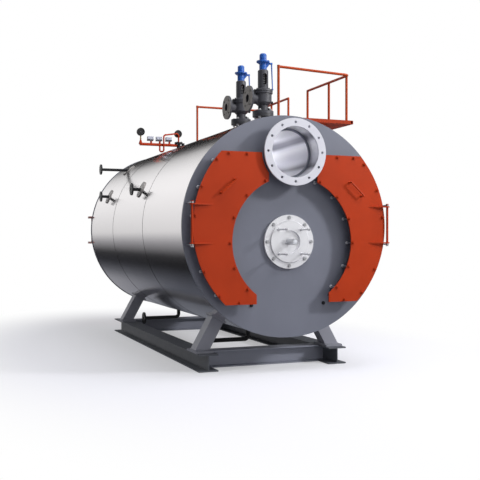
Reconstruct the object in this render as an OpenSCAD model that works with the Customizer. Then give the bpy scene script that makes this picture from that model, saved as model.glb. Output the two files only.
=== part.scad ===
// Horizontal fire-tube steam boiler on a skid base, with two front smokebox doors.
// Millimetres. +X is to the right of someone facing the burner end, +Y runs to the rear, +Z is up.
// The origin is on the floor, under the shell's axis, halfway along the overall length.
// Inside the modules y is counted from the face of the front plate; heights marked "above axis"
// are counted from the shell's axis.

/* [Shell] */
// outside radius of the stainless cladding
clad_r = 1094; // [900:1:1300]
// clear height under the cladding
shell_clear = 356; // [300:1:600]
// thickness of insulation and cladding together
clad_wall = 50; // [20:1:120]
// distance from the front plate's face to the rear end of the cladding
clad_length = 4438; // [3500:1:5500]
// first cladding seam, from the front plate's face
seam_front = 1492; // [800:1:2200]
// second cladding seam, from the front plate's face
seam_rear = 3007; // [2300:1:3400]
// how far a lapped cladding edge stands up
lap_rise = 1.5; // [0.5:0.1:4]
// width of a lapped cladding edge
lap_width = 30; // [10:1:60]
// how far the front and rear plates stand out past the cladding
plate_rim = 6; // [0:0.5:20]
// thickness of the front and rear plates
plate_t = 20; // [8:1:40]

/* [Skid base] */
// distance of each skid beam from the middle
skid_x = 722; // [500:1:900]
// width of the beam flanges
beam_width = 205; // [100:1:300]
// height of the beams
beam_height = 175; // [100:1:300]
// flange thickness of the beams
beam_flange = 13; // [6:0.5:25]
// web thickness of the beams
beam_web = 9; // [5:0.5:20]
// front end of the skid beams, behind the front plate's face
skid_front = 310; // [100:1:600]
// rear end of the skid beams, before the rear plate's face
skid_rear_inset = 335; // [100:1:700]
// front cross beam's middle, behind the skid's front end
cross_front_inset = 322; // [200:1:600]
// rear cross beam's middle, before the skid's rear end
cross_rear_inset = 206; // [120:1:500]
// flange width of the cross beams
cross_width = 175; // [100:1:250]
// front legs' middle, behind the skid's front end
leg_front_inset = 238; // [160:1:500]
// rear legs' middle, before the skid's rear end
leg_rear_inset = 371; // [160:1:600]
// thickness of a leg across its slope
leg_width = 134; // [80:1:200]
// length of a leg along the shell
leg_depth = 156; // [80:1:250]
// lean of the legs from the vertical
leg_lean = 28.8; // [10:0.1:45]
// how far a leg's middle stands outside its beam's middle
leg_foot_out = 26; // [0:1:50]
// thickness of the pad between a leg and the shell
pad_t = 12; // [6:1:30]
// how far a pad stands out round its leg
pad_rim = 20; // [0:1:60]
// length of a leg's foot plate
foot_length = 300; // [200:1:500]
// width of a leg's foot plate
foot_width = 190; // [150:1:300]
// thickness of a leg's foot plate
foot_t = 20; // [8:1:40]

/* [Flue outlet] */
// distance of the flue flange's edge inside the front plate's edge
flue_edge = 48; // [20:1:200]
// how far the flue flange stands before the front plate
flue_reach = 180; // [100:1:300]
// radius of the flue opening at the flange
flue_r = 249; // [150:1:280]
// wall of the flue stub
flue_wall = 4; // [2:0.5:10]
// outside radius of the flue flange
flue_flange_r = 328; // [250:1:330]
// thickness of the flue flange
flue_flange_t = 20; // [10:1:40]
// radius of the flue flange's bolt circle
flue_bolt_r = 288.5; // [200:0.5:310]
// number of bolt holes in the flue flange
flue_bolts = 12; // [8:1:24]
// radius of a bolt hole in the flue flange
flue_hole_r = 13; // [6:0.5:16]
// radius of the duct behind the front plate
duct_r = 229; // [140:1:248]
// how deep the duct runs behind the front plate's face
duct_depth = 1450; // [400:1:1480]

/* [Burner seat] */
// height of the burner's centre above axis
burner_z = -151; // [-300:1:100]
// radius of the burner plate
burner_plate_r = 266; // [235:1:350]
// thickness of the burner plate
burner_plate_t = 30; // [10:1:40]
// radius of the raised boss on the burner plate
boss_r = 210; // [150:1:240]
// height of the raised boss
boss_t = 20; // [8:1:40]
// chamfer round the boss
boss_chamfer = 7; // [1:0.5:7]
// radius of the recess in the boss
recess_r = 112; // [60:1:140]
// depth of the recess
recess_depth = 25; // [5:1:45]
// spacing of the four burner studs, both ways
stud_spacing = 240; // [180:1:280]
// radius of a burner stud
stud_r = 8; // [5:0.5:16]
// how far a burner stud stands out of the boss
stud_length = 195; // [80:1:250]
// outside radius of the sight tube
sight_r = 31; // [15:1:40]
// bore radius of the sight tube
sight_bore_r = 24; // [8:1:30]
// how far the sight tube reaches before the front plate
sight_reach = 168; // [60:1:220]

/* [Smokebox doors] */
// distance of the doors' outer edge inside the front plate's edge
door_edge = 70; // [50:1:120]
// width of a door's ring, from its outer radius in to the radius about the burner
door_width = 390; // [330:1:580]
// height of the doors' top edge above axis
door_top = 710; // [500:1:800]
// height of the doors' bottom edge above axis
door_bottom = -750; // [-850:1:-500]
// distance of the doors' upper inner edge from the middle
door_top_x = 262; // [256:1:400]
// distance of the doors' lower inner edge from the middle
door_bottom_x = 390; // [250:1:500]
// gap between the flue flange's edge and the doors' corner cut, seen from the front
notch_gap = 7; // [3:1:40]
// face of the doors before the front plate
door_face = 130; // [80:1:200]
// thickness of a door plate
door_t = 14; // [6:1:30]
// gap between a door and the frame behind it
door_gap = 6; // [5:0.5:12]
// distance of the frame inside the door's edge
frame_inset = 50; // [40:1:80]
// wall of the door frame
frame_wall = 12; // [6:1:20]
// gap between the frame's wall and the lining
lining_gap = 20; // [12:1:40]
// thickness of the lining behind a door
lining_t = 56; // [20:1:60]
// distance of the hinge pins outside the doors' outer edge
pin_out = 17; // [15:1:30]
// distance of the hinge pins before the doors' face
pin_ahead = 20; // [15:1:60]
// how far a hinge arm reaches in over its door
arm_reach = 195; // [100:1:300]
// height of the upper hinge arm above axis
arm_top = 197; // [100:1:350]
// height of the lower hinge arm above axis
arm_bottom = -169; // [-350:1:-100]
// thickness of a hinge arm
arm_t = 12; // [6:1:20]
// radius of a hinge pin
pin_r = 9; // [6:0.5:20]
// radius of the tube around a hinge pin
pin_tube_r = 12; // [9:0.5:26]
// outside radius of the eyes that carry the pins
eye_r = 16; // [13:0.5:30]
// thickness of an eye
eye_t = 16; // [8:1:30]
// radius of a clamp stud
clamp_r = 8; // [5:0.5:12]
// distance of the clamps inside the door's edge
clamp_inset = 20; // [14:1:30]
// distance of the handle's middle inside the door's outer edge
handle_inset = 248; // [150:1:300]
// length of the handle
handle_length = 206; // [120:1:260]
// how far the handle stands off its door
handle_off = 52; // [40:1:80]

/* [Safety valves] */
// front safety valve, from the front plate's face
valve_front = 629; // [400:1:900]
// rear safety valve, from the front plate's face
valve_rear = 1266; // [1000:1:1500]
// height of a valve nozzle's pipe above the cladding
nozzle_rise = 78; // [40:1:200]
// outside radius of a valve nozzle's pipe
nozzle_pipe_r = 54; // [42:1:70]
// bore radius of the valves' inlet
inlet_bore_r = 40; // [20:1:50]
// radius of a valve's inlet flanges
inlet_flange_r = 112; // [95:1:130]
// thickness of a valve nozzle's flange
inlet_flange_t = 28; // [12:1:40]
// thickness of the gasket between the inlet flanges
gasket_t = 2; // [1:0.5:5]
// radius of a valve's outlet flange
outlet_flange_r = 133; // [100:1:150]
// face of the outlet flange, from the valve's axis
outlet_reach = 178; // [140:1:240]
// bore radius of the outlet
outlet_bore_r = 43; // [25:1:60]
// radius of the outlet flange's bolt circle
outlet_bolt_r = 100; // [70:1:120]
// radius of a small flange's bolt hole
small_hole_r = 9; // [6:0.5:12]
// distance of a lift lever's pivot from the valve's axis
lever_x = 80; // [76:1:95]
// length of a lift lever's handle
lever_length = 265; // [120:1:275]

/* [Walkway] */
// inner edge of the deck
deck_inner = 300; // [180:1:400]
// outer edge of the deck
deck_outer = 895; // [820:1:950]
// front edge of the deck
deck_front = 280; // [60:1:400]
// rear edge of the deck
deck_rear = 2870; // [2000:1:3000]
// gap between the cladding's top and the deck
deck_gap = 3; // [1:0.5:60]
// thickness of the deck
deck_t = 38; // [20:1:60]
// height of the rails' middle above the deck
rail_rise = 485; // [300:1:1100]
// distance of the side rail inside the deck's outer edge
rail_inset = 45; // [20:1:120]
// distance of the front and rear rails inside the deck's ends
rail_end_inset = 15; // [14:1:80]
// how much higher the front rail's inner end stands
rail_lift = 27; // [0:1:60]
// distance of the front rail's inner end from the middle
rail_start = 30; // [0:1:250]
// radius of the rail tube
rail_r = 13.5; // [10:0.5:24]
// bend radius of the rail corners
rail_bend = 50; // [30:1:120]

/* [Pipework] */
// y of the rear blow-down and the rear side nozzles
rear_station = 3680; // [3200:1:4100]
// y of the front blow-down
front_station = 1048; // [800:1:1300]
// y of the middle side nozzle
middle_station = 1926; // [1600:1:2200]
// height of the lower side nozzles above axis
nozzle_low = 452; // [200:1:600]
// height of the upper side nozzle above axis
nozzle_high = 822; // [700:1:900]
// how far the side nozzles' faces stand out past the cladding's widest
nozzle_out = 26; // [20:1:150]
// outside radius of the side nozzle pipes
nozzle_r = 19; // [12:0.5:40]
// bore radius of the side nozzle pipes
nozzle_bore_r = 14; // [8:0.5:35]
// radius of the side nozzles' flanges
nozzle_flange_r = 70; // [50:1:100]
// thickness of the side nozzles' flanges
nozzle_flange_t = 18; // [10:1:30]
// radius of the side nozzles' bolt circle
nozzle_bolt_r = 50; // [35:0.5:80]
// radius of the cover discs on the cladding
rosette_r = 100; // [60:1:150]
// thickness of the cover discs
rosette_t = 8; // [2:0.5:20]
// height of the blow-down pipes over the floor
blow_z = 212; // [150:1:260]
// bend radius of the blow-down pipes
blow_bend = 45; // [40:1:60]
// outside radius of the blow-down pipes
blow_r = 24; // [15:0.5:40]
// bore radius of the blow-down pipes
blow_bore_r = 19; // [10:0.5:35]
// face of the blow-down flanges, from the middle
blow_reach = 515; // [400:1:600]
// radius of the blow-down flanges
blow_flange_r = 82; // [60:1:100]
// radius of the blow-down flanges' bolt circle
blow_bolt_r = 62.5; // [40:0.5:80]

/* [Instruments] */
// height of the instrument header's axis above the cladding
head_rise = 103; // [60:1:200]
// outside radius of the instrument header
head_r = 20; // [12:0.5:30]
// outside radius of the siphon tube
siphon_r = 11; // [6:0.5:14]
// radius of the stop valve's flanges
stop_flange_r = 57; // [40:1:80]
// height of the stop valve's inner flange above the cladding
stop_rise = 124; // [80:1:200]
// width of a pressure switch
switch_width = 80; // [50:1:100]
// height of a pressure switch
switch_height = 60; // [40:1:100]
// radius of the gauge on the header
gauge_r = 54; // [30:1:60]
// radius of the gauge on the stop valve
stop_gauge_r = 50; // [30:1:60]

/* [Hidden] */
// one node to draw, or "all"
$fn = 96;
axis_z = clad_r + shell_clear;
plate_r = clad_r + plate_rim;
rear_face = clad_length + plate_t;
boss_face = burner_plate_t + boss_t;
// how far the rear hinges reach behind the rear plate
rear_reach = 148;
// halfway between the burner studs' tips and the rear hinges
mid_y = (rear_face + rear_reach - boss_face - stud_length) / 2;
skid_rear = rear_face - skid_rear_inset;
cross_front = skid_front + cross_front_inset;
cross_rear = skid_rear - cross_rear_inset;
leg_front = skid_front + leg_front_inset;
leg_rear = skid_rear - leg_rear_inset;
leg_foot_x = skid_x + leg_foot_out;
inner_beam_edge = skid_x - beam_width / 2;
flue_z = plate_r - flue_edge - flue_flange_r;
door_r = plate_r - door_edge;
door_inner_r = door_r - door_width;
door_notch_r = flue_flange_r + notch_gap;
lining_inset = frame_inset + frame_wall + lining_gap;
hinge_x = door_r + pin_out;
hinge_y = door_face + pin_ahead;
rear_door_r = door_r - 30;
// the rear doors' pins and the outer end of their hinges
rear_pin_x = hinge_x + 10;
rear_hinge_x = plate_r + 20;
// where a valve's body seats, and where its cap does
valve_seat = clad_r + nozzle_rise + inlet_flange_t + gasket_t;
cap_seat = valve_seat + 469;
lever_z = cap_seat + 76;
deck_z = clad_r + deck_gap;
deck_top = deck_z + deck_t;
rail_z = deck_top + rail_rise;
rail_x = deck_outer - rail_inset;
head_z = clad_r + head_rise;
stop_z = clad_r + stop_rise;
nozzle_reach = clad_r + nozzle_out;
// the clamps round a right-hand door: angles about the axis, then about the burner's centre
clamp_outer_angles = [38.5, 21.5, 5.5, -25.3, -41];
clamp_inner_angles = [63.5, 42.5, 20.5, -1, -22, -43.5];
// and the clamps along its straight edges, from the outer corner
clamp_top_x = [for (d = [261, 76]) sqrt(door_r * door_r - door_top * door_top) - d];
clamp_bottom_x = [sqrt(door_r * door_r - door_bottom * door_bottom) - 143];

// shared helpers

// from the front plate's face to the part's own origin
module place() {
  translate([0, -mid_y, 0])
    children();
}

// the same, with heights counted from the shell's axis
module place_axis() {
  translate([0, -mid_y, axis_z])
    children();
}

// a round bar along y
module bar_y(r, y0, y1, x = 0, z = 0) {
  translate([x, y1, z])
    rotate([90, 0, 0])
      cylinder(h = y1 - y0, r = r);
}

// a round bar along x
module bar_x(r, x0, x1, y = 0, z = 0) {
  translate([x0, y, z])
    rotate([0, 90, 0])
      cylinder(h = x1 - x0, r = r);
}

// a round bar along z
module bar_z(r, z0, z1, x = 0, y = 0) {
  translate([x, y, z0])
    cylinder(h = z1 - z0, r = r);
}

// a flat shape drawn in x and z, given its thickness along y
module sheet_y(y0, y1) {
  translate([0, y1, 0])
    rotate([90, 0, 0])
      linear_extrude(y1 - y0)
        children();
}

// the space the cladding takes, for trimming what stands on it
// finely faceted, because thin plates end on it
module shell_core() {
  bar_y(clad_r, -100, clad_length + 100, $fn = 360);
}

// a round bar along y that narrows or widens from y0 to y1
module cone_y(r0, r1, y0, y1) {
  translate([0, y1, 0])
    rotate([90, 0, 0])
      cylinder(h = y1 - y0, r1 = r1, r2 = r0);
}

// half the shell's width at a height above or below axis
function shell_x(z) = sqrt(clad_r * clad_r - z * z);

// what stands on the cladding, trimmed to its curve
module on_shell() {
  difference() {
    children();
    shell_core();
  }
}

// the same thing on the left and the right
module both_sides() {
  children();
  mirror([1, 0, 0])
    children();
}

// skid base

// an I-beam outline standing on the floor, in x and z
module beam_outline(width) {
  translate([-width / 2, 0])
    square([width, beam_flange]);
  translate([-width / 2, beam_height - beam_flange])
    square([width, beam_flange]);
  translate([-beam_web / 2, 0])
    square([beam_web, beam_height]);
}

module skid_beam() {
  translate([skid_x, 0, 0])
    sheet_y(skid_front, skid_rear)
      beam_outline(beam_width);
}

// a cross beam between the skids, its web running on between their flanges
module cross_beam(y) {
  translate([-inner_beam_edge, y, 0])
    rotate([90, 0, 90])
      linear_extrude(2 * inner_beam_edge)
        beam_outline(cross_width);
  translate([-(skid_x - beam_web / 2), y - beam_web / 2, beam_flange])
    cube([2 * skid_x - beam_web, beam_web, beam_height - 2 * beam_flange]);
}

// the long box that a leg is cut from, grown by rim all round
module leg_box(y, rim) {
  translate([leg_foot_x, y, beam_height])
    rotate([0, -leg_lean, 0])
      translate([-leg_width / 2 - rim, -leg_depth / 2 - rim, -leg_width])
        cube([leg_width + 2 * rim, leg_depth + 2 * rim, axis_z]);
}

// a leaning box leg on its foot plate, with a curved pad where it meets the shell
module leg(y) {
  difference() {
    union() {
      translate([leg_foot_x - 15 - foot_width / 2, y - foot_length / 2, beam_height])
        cube([foot_width, foot_length, foot_t]);
      intersection() {
        leg_box(y, 0);
        translate([0, y - leg_depth, beam_height + foot_t / 2])
          cube([clad_r, 2 * leg_depth, axis_z]);
        translate([0, 0, axis_z])
          bar_y(clad_r + 600, y - leg_depth, y + leg_depth);
      }
      intersection() {
        leg_box(y, pad_rim);
        translate([0, 0, axis_z])
          bar_y(clad_r + pad_t, y - leg_depth, y + leg_depth, $fn = 360);
      }
    }
    translate([0, 0, axis_z])
      shell_core();
    translate([-clad_r, y - leg_depth, 0])
      cube([clad_r + leg_width, 2 * leg_depth, 2 * axis_z]);
    translate([-clad_r, y - leg_depth - pad_rim, axis_z])
      cube([2 * clad_r, 2 * leg_depth + 2 * pad_rim, axis_z]);
  }
}

module skid_left() {
  color("#4B4D55")
    place()
      mirror([1, 0, 0])
        skid_beam();
}

module skid_right() {
  color("#4B4D55")
    place()
      skid_beam();
}

module cross_beam_front() {
  color("#4B4D55")
    place()
      cross_beam(cross_front);
}

module cross_beam_rear() {
  color("#4B4D55")
    place()
      cross_beam(cross_rear);
}

module support_legs() {
  color("#6E6E76")
    place()
      both_sides() {
        leg(leg_front);
        leg(leg_rear);
      }
}

// shell

// one cladding ring; a lapped ring has a raised edge at its front
module cladding(y0, y1, lapped) {
  difference() {
    union() {
      bar_y(clad_r, y0, y1);
      if (lapped)
        bar_y(clad_r + lap_rise, y0, y0 + lap_width);
    }
    bar_y(clad_r - clad_wall, y0 - 1, y1 + 1);
  }
}

module cladding_front() {
  color("#D4D6DA")
    place_axis()
      cladding(plate_t, seam_front, false);
}

module cladding_middle() {
  color("#D4D6DA")
    place_axis()
      cladding(seam_front, seam_rear, true);
}

module cladding_rear() {
  color("#D4D6DA")
    place_axis()
      cladding(seam_rear, clad_length, true);
}

module front_plate() {
  color("#767984")
    place_axis()
      difference() {
        bar_y(plate_r, 0, plate_t);
        bar_y(duct_r, -1, plate_t + 1, 0, flue_z);
      }
}

module rear_plate() {
  color("#767984")
    place_axis()
      bar_y(plate_r, clad_length, rear_face);
}

// rear doors, plain halves that repeat the front ones' hinges

// the right-hand half of a round plate
module half_disc(r, gap) {
  intersection() {
    circle(r = r);
    translate([gap / 2, -r - 1])
      square([r + 2, 2 * r + 2]);
  }
}

module rear_door_frame() {
  color("#767984")
    place_axis()
      difference() {
        bar_y(rear_door_r - 40, rear_face, rear_face + 96);
        bar_y(rear_door_r - 54, rear_face - 1, rear_face + 97);
      }
}

// a hinge arm lying flat, from the door's face out past the pin tube
module rear_arm(z) {
  translate([0, 0, z])
    linear_extrude(arm_t)
      polygon([
        [rear_door_r - 140, rear_face + 110],
        [rear_door_r - 10, rear_face + 110],
        [rear_pin_x + 30, rear_face + 110],
        [rear_hinge_x, rear_face + 124],
        [rear_hinge_x - 12, rear_face + rear_reach],
        [rear_pin_x - 18, rear_face + rear_reach]
      ]);
}

module rear_doors() {
  color("#B23C1E")
    place_axis()
      both_sides() {
        sheet_y(rear_face + 96, rear_face + 110)
          half_disc(rear_door_r, 16);
        rear_arm(171);
        rear_arm(-183);
        bar_z(pin_tube_r, -183, 183, rear_pin_x, rear_face + rear_reach - pin_tube_r);
      }
}

module rear_hinges() {
  color("#B23C1E")
    place_axis()
      both_sides()
        for (z = [185, -199])
          translate([0, 0, z])
            linear_extrude(14)
              polygon([
                [rear_pin_x - 42, rear_face],
                [plate_r - 12, rear_face],
                [rear_hinge_x, rear_face + 60],
                [rear_hinge_x, rear_face + 124],
                [rear_hinge_x - 12, rear_face + rear_reach],
                [rear_pin_x - 20, rear_face + rear_reach]
              ]);
}

// flue outlet

module flue_flange() {
  color("#D9D9E2")
    place_axis()
      translate([0, 0, flue_z])
        difference() {
          bar_y(flue_flange_r, -flue_reach, -flue_reach + flue_flange_t);
          bar_y(flue_r, -flue_reach - 1, 0);
          for (i = [0 : flue_bolts - 1])
            rotate([0, 360 * i / flue_bolts, 0])
              bar_y(flue_hole_r, -flue_reach - 1, -flue_reach + flue_flange_t + 1, flue_bolt_r, 0);
        }
}

module flue_stub() {
  color("#5A5C66")
    place_axis()
      translate([0, 0, flue_z])
        difference() {
          bar_y(flue_r + flue_wall, -flue_reach + flue_flange_t, 0);
          bar_y(flue_r, -flue_reach, 1);
        }
}

module flue_duct() {
  color("#D4D6DA")
    place_axis()
      translate([0, 0, flue_z])
        difference() {
          bar_y(duct_r + flue_wall, plate_t, duct_depth);
          bar_y(duct_r, plate_t - 1, duct_depth - flue_wall);
        }
}

// burner seat

module burner_plate() {
  color("#D9D9E2")
    place_axis()
      translate([0, 0, burner_z])
        difference() {
          union() {
            bar_y(burner_plate_r, -burner_plate_t, 0);
            bar_y(boss_r, -boss_face + boss_chamfer, -burner_plate_t);
            cone_y(boss_r - boss_chamfer, boss_r, -boss_face, -boss_face + boss_chamfer);
          }
          bar_y(recess_r, -boss_face - 1, -boss_face + recess_depth);
        }
}

module burner_studs() {
  color("#B9BBC2")
    place_axis()
      translate([0, 0, burner_z])
        for (x = [-1, 1], z = [-1, 1])
          bar_y(stud_r, -boss_face - stud_length, -boss_face, x * stud_spacing / 2, z * stud_spacing / 2);
}

module sight_tube() {
  color("#B9BBC2")
    place_axis()
      translate([0, 0, burner_z])
        difference() {
          bar_y(sight_r, -sight_reach, -boss_face + recess_depth);
          bar_y(sight_bore_r, -sight_reach - 1, -boss_face + recess_depth - 6);
        }
}

// smokebox doors

// the right-hand door's outline, drawn i inside its edge
module door_outline(i) {
  difference() {
    intersection() {
      circle(r = door_r - i);
      union() {
        translate([door_top_x + i, burner_z])
          square([door_r, door_top - i - burner_z]);
        translate([door_bottom_x + i, door_bottom + i])
          square([door_r, burner_z - door_bottom - i]);
      }
    }
    translate([0, burner_z])
      circle(r = door_inner_r + i);
    translate([0, flue_z])
      circle(r = door_notch_r + i);
  }
}

// puts its children at every clamp of a right-hand door
module at_clamps() {
  for (a = clamp_outer_angles)
    translate([(door_r - clamp_inset) * cos(a), 0, (door_r - clamp_inset) * sin(a)])
      children();
  for (a = clamp_inner_angles)
    translate([(door_inner_r + clamp_inset) * cos(a), 0, burner_z + (door_inner_r + clamp_inset) * sin(a)])
      children();
  for (x = clamp_top_x)
    translate([x, 0, door_top - clamp_inset])
      children();
  for (x = clamp_bottom_x)
    translate([x, 0, door_bottom + clamp_inset])
      children();
}

// a clamp's nut and stud end on the door's face
module clamp_nut() {
  translate([0, -door_face, 0])
    rotate([90, 0, 0]) {
      cylinder(h = 13, r = 15, $fn = 6);
      cylinder(h = 23, r = clamp_r);
    }
}

// a hinge arm lying flat, from the door's face out to the pin tube
module hinge_arm(z) {
  translate([0, 0, z])
    linear_extrude(arm_t)
      polygon([
        [door_r - arm_reach, -door_face],
        [door_r - 25, -door_face],
        [hinge_x + 16, -hinge_y + 10],
        [hinge_x + 25, -hinge_y - 4],
        [hinge_x + 12, -hinge_y - 22],
        [hinge_x - 14, -hinge_y - 26]
      ]);
}

// the slanted lifting handle: a bar on two short feet
module door_handle() {
  middle = door_r - handle_inset;
  translate([middle * cos(28.7), -door_face, middle * sin(28.7)])
    rotate([0, 43.5, 0]) {
      bar_x(8, -handle_length / 2, handle_length / 2, -handle_off, 0);
      for (x = [8 - handle_length / 2, handle_length / 2 - 8])
        bar_y(8, -handle_off, 0, x, 0);
    }
}

module door_right_solid() {
  difference() {
    union() {
      sheet_y(-door_face, -door_face + door_t)
        door_outline(0);
      hinge_arm(arm_top);
      hinge_arm(arm_bottom);
      bar_z(pin_tube_r, arm_bottom, arm_top + arm_t, hinge_x, -hinge_y);
    }
    bar_z(pin_r, arm_bottom - 10, arm_top + arm_t + 10, hinge_x, -hinge_y);
  }
  at_clamps()
    clamp_nut();
  door_handle();
}

module door_frame_solid() {
  sheet_y(-door_face + door_t + door_gap, 0)
    difference() {
      door_outline(frame_inset);
      door_outline(frame_inset + frame_wall);
    }
}

module door_lining_solid() {
  sheet_y(-door_face + door_t, -door_face + door_t + lining_t)
    door_outline(lining_inset);
}

// the pin through a door's two arms and the eyes beyond them
module hinge_pin_solid() {
  head = arm_top + arm_t + eye_t + 2;
  bar_z(pin_r, arm_bottom - eye_t - 9, head, hinge_x, -hinge_y);
  bar_z(pin_r + 5, head, head + 7, hinge_x, -hinge_y);
}

// an eye bolt that stands in the front plate and holds a hinge pin
module hinge_eye(z) {
  difference() {
    union() {
      bar_z(eye_r, z, z + eye_t, hinge_x, -hinge_y);
      bar_y(eye_t / 2 - 1, -hinge_y + pin_r + 3, 0, hinge_x, z + eye_t / 2);
    }
    bar_z(pin_r + 0.08, z - 1, z + eye_t + 1, hinge_x, -hinge_y);
  }
}

module door_frame_left() {
  color("#5F616B")
    place_axis()
      mirror([1, 0, 0])
        door_frame_solid();
}

module door_frame_right() {
  color("#5F616B")
    place_axis()
      door_frame_solid();
}

module door_left() {
  color("#B23C1E")
    place_axis()
      mirror([1, 0, 0])
        door_right_solid();
}

module door_right() {
  color("#B23C1E")
    place_axis()
      door_right_solid();
}

module door_lining_left() {
  color("#C9C2B4")
    place_axis()
      mirror([1, 0, 0])
        door_lining_solid();
}

module door_lining_right() {
  color("#C9C2B4")
    place_axis()
      door_lining_solid();
}

module hinge_pin_left() {
  color("#B9BBC2")
    place_axis()
      mirror([1, 0, 0])
        hinge_pin_solid();
}

module hinge_pin_right() {
  color("#B9BBC2")
    place_axis()
      hinge_pin_solid();
}

module hinge_eyes() {
  color("#B9BBC2")
    place_axis()
      both_sides() {
        hinge_eye(arm_top + arm_t + 1);
        hinge_eye(arm_bottom - eye_t - 1);
      }
}

module clamp_studs() {
  color("#B9BBC2")
    place_axis()
      both_sides()
        at_clamps()
          bar_y(clamp_r, -door_face + door_t + door_gap, 0);
}

module drain_plugs() {
  color("#1B1C22")
    place_axis()
      both_sides()
        translate([door_bottom_x + 2, 0, door_bottom - 19])
          rotate([90, 0, 0]) {
            cylinder(h = 6, r = 18);
            cylinder(h = 20, r = 13, $fn = 6);
          }
}

// safety valves; heights above axis

// four holes on a circle in a flange that faces -X
module flange_holes_x(bolt_r, hole_r, x0, x1) {
  for (i = [0 : 3])
    rotate([45 + 90 * i, 0, 0])
      translate([x0, 0, bolt_r])
        rotate([0, 90, 0])
          cylinder(h = x1 - x0, r = hole_r);
}

// a welded nozzle with its flange, and the gasket on it
module valve_nozzle(y) {
  translate([0, y, clad_r])
    difference() {
      union() {
        bar_z(nozzle_pipe_r, -94, nozzle_rise);
        bar_z(inlet_flange_r, nozzle_rise, nozzle_rise + inlet_flange_t);
        bar_z(inlet_flange_r - 22, nozzle_rise + inlet_flange_t, nozzle_rise + inlet_flange_t + gasket_t);
      }
      bar_z(inlet_bore_r, 16, nozzle_rise + inlet_flange_t + gasket_t + 1);
    }
}

module valve_nozzles() {
  color("#2B2C32")
    place_axis()
      on_shell() {
        valve_nozzle(valve_front);
        valve_nozzle(valve_rear);
      }
}

// cast body with its inlet flange, outlet branch, cover and spring bonnet; z counts from its seat
module valve_body(y) {
  outlet_z = 159;
  window_low = 331;
  window_high = 403;
  translate([0, y, valve_seat])
    difference() {
      union() {
        bar_z(inlet_flange_r, 0, 30);
        bar_z(53, 30, 98);
        translate([0, 0, 88])
          cylinder(h = 34, r1 = 53, r2 = 92);
        bar_z(92, 122, 217);
        bar_z(103, 217, 234);
        bar_z(94, 234, 239);
        bar_z(103, 239, 256);
        translate([0, 0, 256])
          cylinder(h = 16, r1 = 76, r2 = 58);
        bar_z(56, 272, 459);
        translate([0, 0, 459])
          cylinder(h = 10, r1 = 56, r2 = 48);
        bar_x(54, -outlet_reach + 10, 0, 0, outlet_z);
        bar_x(outlet_flange_r, -outlet_reach, -outlet_reach + 22, 0, outlet_z);
      }
      bar_z(inlet_bore_r - 4, -1, 60);
      bar_x(outlet_bore_r, -outlet_reach - 1, -62, 0, outlet_z);
      translate([0, 0, outlet_z])
        flange_holes_x(outlet_bolt_r, small_hole_r, -outlet_reach - 1, -outlet_reach + 23);
      // the spring chamber and the window through it
      bar_z(46, 276, 455);
      for (z = [window_low, window_high])
        bar_y(24, -70, 70, 0, z);
      translate([-24, -70, window_low])
        cube([48, 140, window_high - window_low]);
    }
  translate([0, y, valve_seat])
    bar_z(11, 272, 458);
}

module front_valve_body() {
  color("#45464C")
    place_axis()
      valve_body(valve_front);
}

module rear_valve_body() {
  color("#45464C")
    place_axis()
      valve_body(valve_rear);
}

// blue cap: barrel, hat, domed top and the web that carries the lift lever; z counts from its seat
module valve_cap(y) {
  pivot = lever_z - cap_seat;
  translate([0, y, cap_seat])
    difference() {
      union() {
        bar_z(40, 0, 74);
        translate([0, 0, 62])
          cylinder(h = 22, r1 = 40, r2 = 70);
        bar_z(70, 84, 97);
        bar_z(38, 97, 161);
        translate([0, 0, 161])
          cylinder(h = 9, r1 = 38, r2 = 33);
        translate([0, 0, 170])
          cylinder(h = 6, r1 = 33, r2 = 24);
        translate([0, 0, 176])
          cylinder(h = 3, r1 = 24, r2 = 10);
        sheet_y(-4, 4)
          polygon([
            [30, 12],
            [lever_x - 6, pivot - 12],
            [lever_x + 5, pivot - 7],
            [lever_x + 7, pivot + 4],
            [lever_x, pivot + 11],
            [30, pivot + 11]
          ]);
      }
      difference() {
        bar_z(60, 111, 116);
        bar_z(35, 110, 117);
      }
      bar_y(5.08, -6, 6, lever_x, pivot);
    }
}

module front_valve_cap() {
  color("#2F62B4")
    place_axis()
      valve_cap(valve_front);
}

module rear_valve_cap() {
  color("#2F62B4")
    place_axis()
      valve_cap(valve_rear);
}

// a round rod between two points in the x-z plane
module rod_xz(r, a, b) {
  dx = b[0] - a[0];
  dz = b[1] - a[1];
  translate([a[0], 0, a[1]])
    rotate([0, atan2(dx, dz), 0])
      cylinder(h = sqrt(dx * dx + dz * dz), r = r);
}

// lift lever: two cheeks and a pin on the web, and a tapered handle with a knob; z counts from its pivot
module valve_lever(y) {
  fork_x = lever_x + 12;
  grip_x = lever_x + 19;
  knob_x = lever_x + 30;
  rise = lever_length + 2;
  translate([0, y, lever_z]) {
    for (s = [-1, 1])
      translate([0, s * 7.5, 0])
        sheet_y(-2.5, 2.5)
          union() {
            translate([lever_x, 0])
              circle(r = 8);
            translate([lever_x, -8])
              square([fork_x + 14 - lever_x, 16]);
          }
    bar_y(5, -12, 12, lever_x, 0);
    translate([fork_x, -10, -10])
      cube([14, 20, 20]);
    translate([grip_x, 0, -8])
      rotate([0, atan2(knob_x - grip_x, -rise), 0])
        cylinder(h = norm([knob_x - grip_x, rise]), r1 = 7.5, r2 = 5.5);
    translate([knob_x, 0, -10 - lever_length])
      sphere(r = 10);
  }
}

module front_valve_lever() {
  color("#2F62B4")
    place_axis()
      valve_lever(valve_front);
}

module rear_valve_lever() {
  color("#2F62B4")
    place_axis()
      valve_lever(valve_rear);
}

// walkway

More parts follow.
